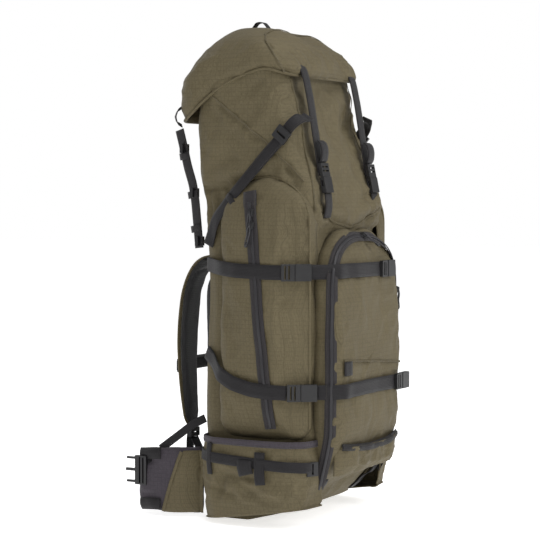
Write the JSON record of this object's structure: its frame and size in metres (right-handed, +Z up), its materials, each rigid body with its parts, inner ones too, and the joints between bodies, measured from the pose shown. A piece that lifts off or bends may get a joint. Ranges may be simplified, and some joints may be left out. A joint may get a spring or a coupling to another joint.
{
  "type": "hunting backpack",
  "caption": "Tall framed hunting backpack with a hinged domed lid, zipped side and front pockets, compression straps with side-release buckles, shoulder straps and a padded hip belt.",
  "frame": {"origin": "on the floor, in the middle of the flat part of the base", "axes": "+Z up, -Y towards the outer front, +Y towards the harness, -X the wearer's left"},
  "size_m": [0.3876, 0.425, 0.882],
  "materials": {
    "olive_fabric": "coated woven nylon, matt with a faint sheen",
    "charcoal_fabric": "fine charcoal knit face fabric",
    "mesh_padding": "black spacer mesh over foam",
    "webbing": "ribbed nylon webbing",
    "zip_tape": "reverse coil zip tape",
    "cord": "braided cord",
    "black_plastic": "moulded acetal, satin",
    "frame_plastic": "sheet polyethylene",
    "stay_metal": "plain bar"
  },
  "bodies": {
    "pack": {"back_pad": "mesh_padding", "back_panel": "olive_fabric", "base_panel": "olive_fabric", "bottle_pocket_left": "olive_fabric", "bottle_pocket_right": "olive_fabric", "bottle_pocket_straps": "webbing", "bottom_straps": "webbing", "collar": "olive_fabric", "collar_drawcord": "cord", "compression_sockets": "black_plastic", "diagonal_straps": "webbing", "frame_sheet": "frame_plastic", "frame_stays": "stay_metal", "front_panel": "olive_fabric", "front_pocket": "olive_fabric", "front_pocket_zip": "zip_tape", "ladder_locks": "black_plastic", "lid_sockets": "black_plastic", "lid_strap_anchors": "webbing", "lower_front_strap": "webbing", "lower_side_straps": "webbing", "lumbar_pad": "mesh_padding", "rear_adjusters": "black_plastic", "rear_lid_straps": "webbing", "shoulder_webbing": "webbing", "side_panel_left": "olive_fabric", "side_panel_right": "olive_fabric", "side_pocket_left": "olive_fabric", "side_pocket_right": "olive_fabric", "side_zip_tapes": "zip_tape", "stash_pocket": "olive_fabric", "upper_front_strap": "webbing", "upper_side_straps": "webbing"},
    "lid": {"lid_shell": "olive_fabric", "lid_tabs": "webbing", "lid_straps": "webbing"},
    "lid_plug_left": {"plug_lid_left": "black_plastic"},
    "lid_plug_right": {"plug_lid_right": "black_plastic"},
    "upper_plug_left": {"plug_upper_left": "black_plastic"},
    "upper_plug_right": {"plug_upper_right": "black_plastic"},
    "lower_plug_left": {"plug_lower_left": "black_plastic"},
    "lower_plug_right": {"plug_lower_right": "black_plastic"},
    "side_slider_left": {"side_zip_slider_left": "black_plastic"},
    "side_slider_right": {"side_zip_slider_right": "black_plastic"},
    "front_slider_top": {"front_zip_slider_top": "black_plastic"},
    "front_slider_side": {"front_zip_slider_side": "black_plastic"},
    "cord_lock": {"cord_lock": "black_plastic"},
    "shoulder_left": {"shoulder_strap_left": "mesh_padding", "shoulder_ladder_lock_left": "black_plastic"},
    "shoulder_right": {"shoulder_strap_right": "mesh_padding", "shoulder_ladder_lock_right": "black_plastic"},
    "sternum": {"sternum_webbing": "webbing", "sternum_sliders": "black_plastic", "sternum_buckle": "black_plastic"},
    "hip_left": {"hip_wing_left": "charcoal_fabric", "hip_webbing_left": "webbing"},
    "hip_right": {"hip_wing_right": "charcoal_fabric", "hip_webbing_right": "webbing"},
    "hip_plug": {"hip_plug": "black_plastic"},
    "hip_socket": {"hip_socket": "black_plastic"}
  },
  "joints": [
    {"name": "lid_hinge", "type": "hinge", "parent": "pack", "child": "lid", "pos_m": [0, 0.16, 0.69], "axis": [-1, 0, 0], "range_deg": [0, 110]},
    {"name": "lid_plug_left_slide", "type": "slide", "parent": "lid", "child": "lid_plug_left", "axis": [0, 0.199, 0.98], "range_m": [0, 0.03]},
    {"name": "lid_plug_right_slide", "type": "slide", "parent": "lid", "child": "lid_plug_right", "axis": [0, 0.199, 0.98], "range_m": [0, 0.03]},
    {"name": "upper_plug_left_slide", "type": "slide", "parent": "pack", "child": "upper_plug_left", "axis": [-0.6, 0.8, 0], "range_m": [0, 0.02]},
    {"name": "upper_plug_right_slide", "type": "slide", "parent": "pack", "child": "upper_plug_right", "axis": [-1, 0, 0], "range_m": [0, 0.03]},
    {"name": "lower_plug_left_slide", "type": "slide", "parent": "pack", "child": "lower_plug_left", "axis": [-0.6, 0.8, 0], "range_m": [0, 0.02]},
    {"name": "lower_plug_right_slide", "type": "slide", "parent": "pack", "child": "lower_plug_right", "axis": [-1, 0, 0], "range_m": [0, 0.03]},
    {"name": "side_slider_left_slide", "type": "slide", "parent": "pack", "child": "side_slider_left", "axis": [0, -0.0844, -0.9964], "range_m": [0, 0.24]},
    {"name": "side_slider_right_slide", "type": "slide", "parent": "pack", "child": "side_slider_right", "axis": [0, -0.0844, -0.9964], "range_m": [0, 0.24]},
    {"name": "front_slider_top_swing", "type": "hinge", "parent": "pack", "child": "front_slider_top", "pos_m": [0, 0, 0.4], "axis": [0, 1, 0], "range_deg": [-45, 0]},
    {"name": "front_slider_side_slide", "type": "slide", "parent": "pack", "child": "front_slider_side", "axis": [0, 0, -1], "range_m": [0, 0.1]},
    {"name": "cord_lock_slide", "type": "slide", "parent": "pack", "child": "cord_lock", "axis": [1, 0, 0], "range_m": [-0.04, 0.04]},
    {"name": "shoulder_left_swing", "type": "hinge", "parent": "pack", "child": "shoulder_left", "pos_m": [0, 0.122, 0.462], "axis": [1, 0, 0], "range_deg": [0, 30]},
    {"name": "shoulder_right_swing", "type": "hinge", "parent": "pack", "child": "shoulder_right", "pos_m": [0, 0.122, 0.462], "axis": [1, 0, 0], "range_deg": [0, 30]},
    {"name": "sternum_slide", "type": "slide", "parent": "shoulder_left", "child": "sternum", "axis": [0, 0, 1], "range_m": [-0.03, 0.03]},
    {"name": "hip_left_swing", "type": "hinge", "parent": "pack", "child": "hip_left", "pos_m": [-0.122, 0.126, 0.064], "axis": [0, 0, 1], "range_deg": [-35, 20]},
    {"name": "hip_right_swing", "type": "hinge", "parent": "pack", "child": "hip_right", "pos_m": [0.122, 0.126, 0.064], "axis": [0, 0, 1], "range_deg": [-20, 35]},
    {"name": "hip_plug_slide", "type": "slide", "parent": "hip_left", "child": "hip_plug", "axis": [0, -1, 0], "range_m": [0, 0.03]},
    {"name": "hip_socket_slide", "type": "slide", "parent": "hip_right", "child": "hip_socket", "axis": [0, -1, 0], "range_m": [0, 0.03]}
  ],
  "couplings": [
    {"joint": "shoulder_right_swing", "follows": "shoulder_left_swing", "ratio": 1}
  ]
}
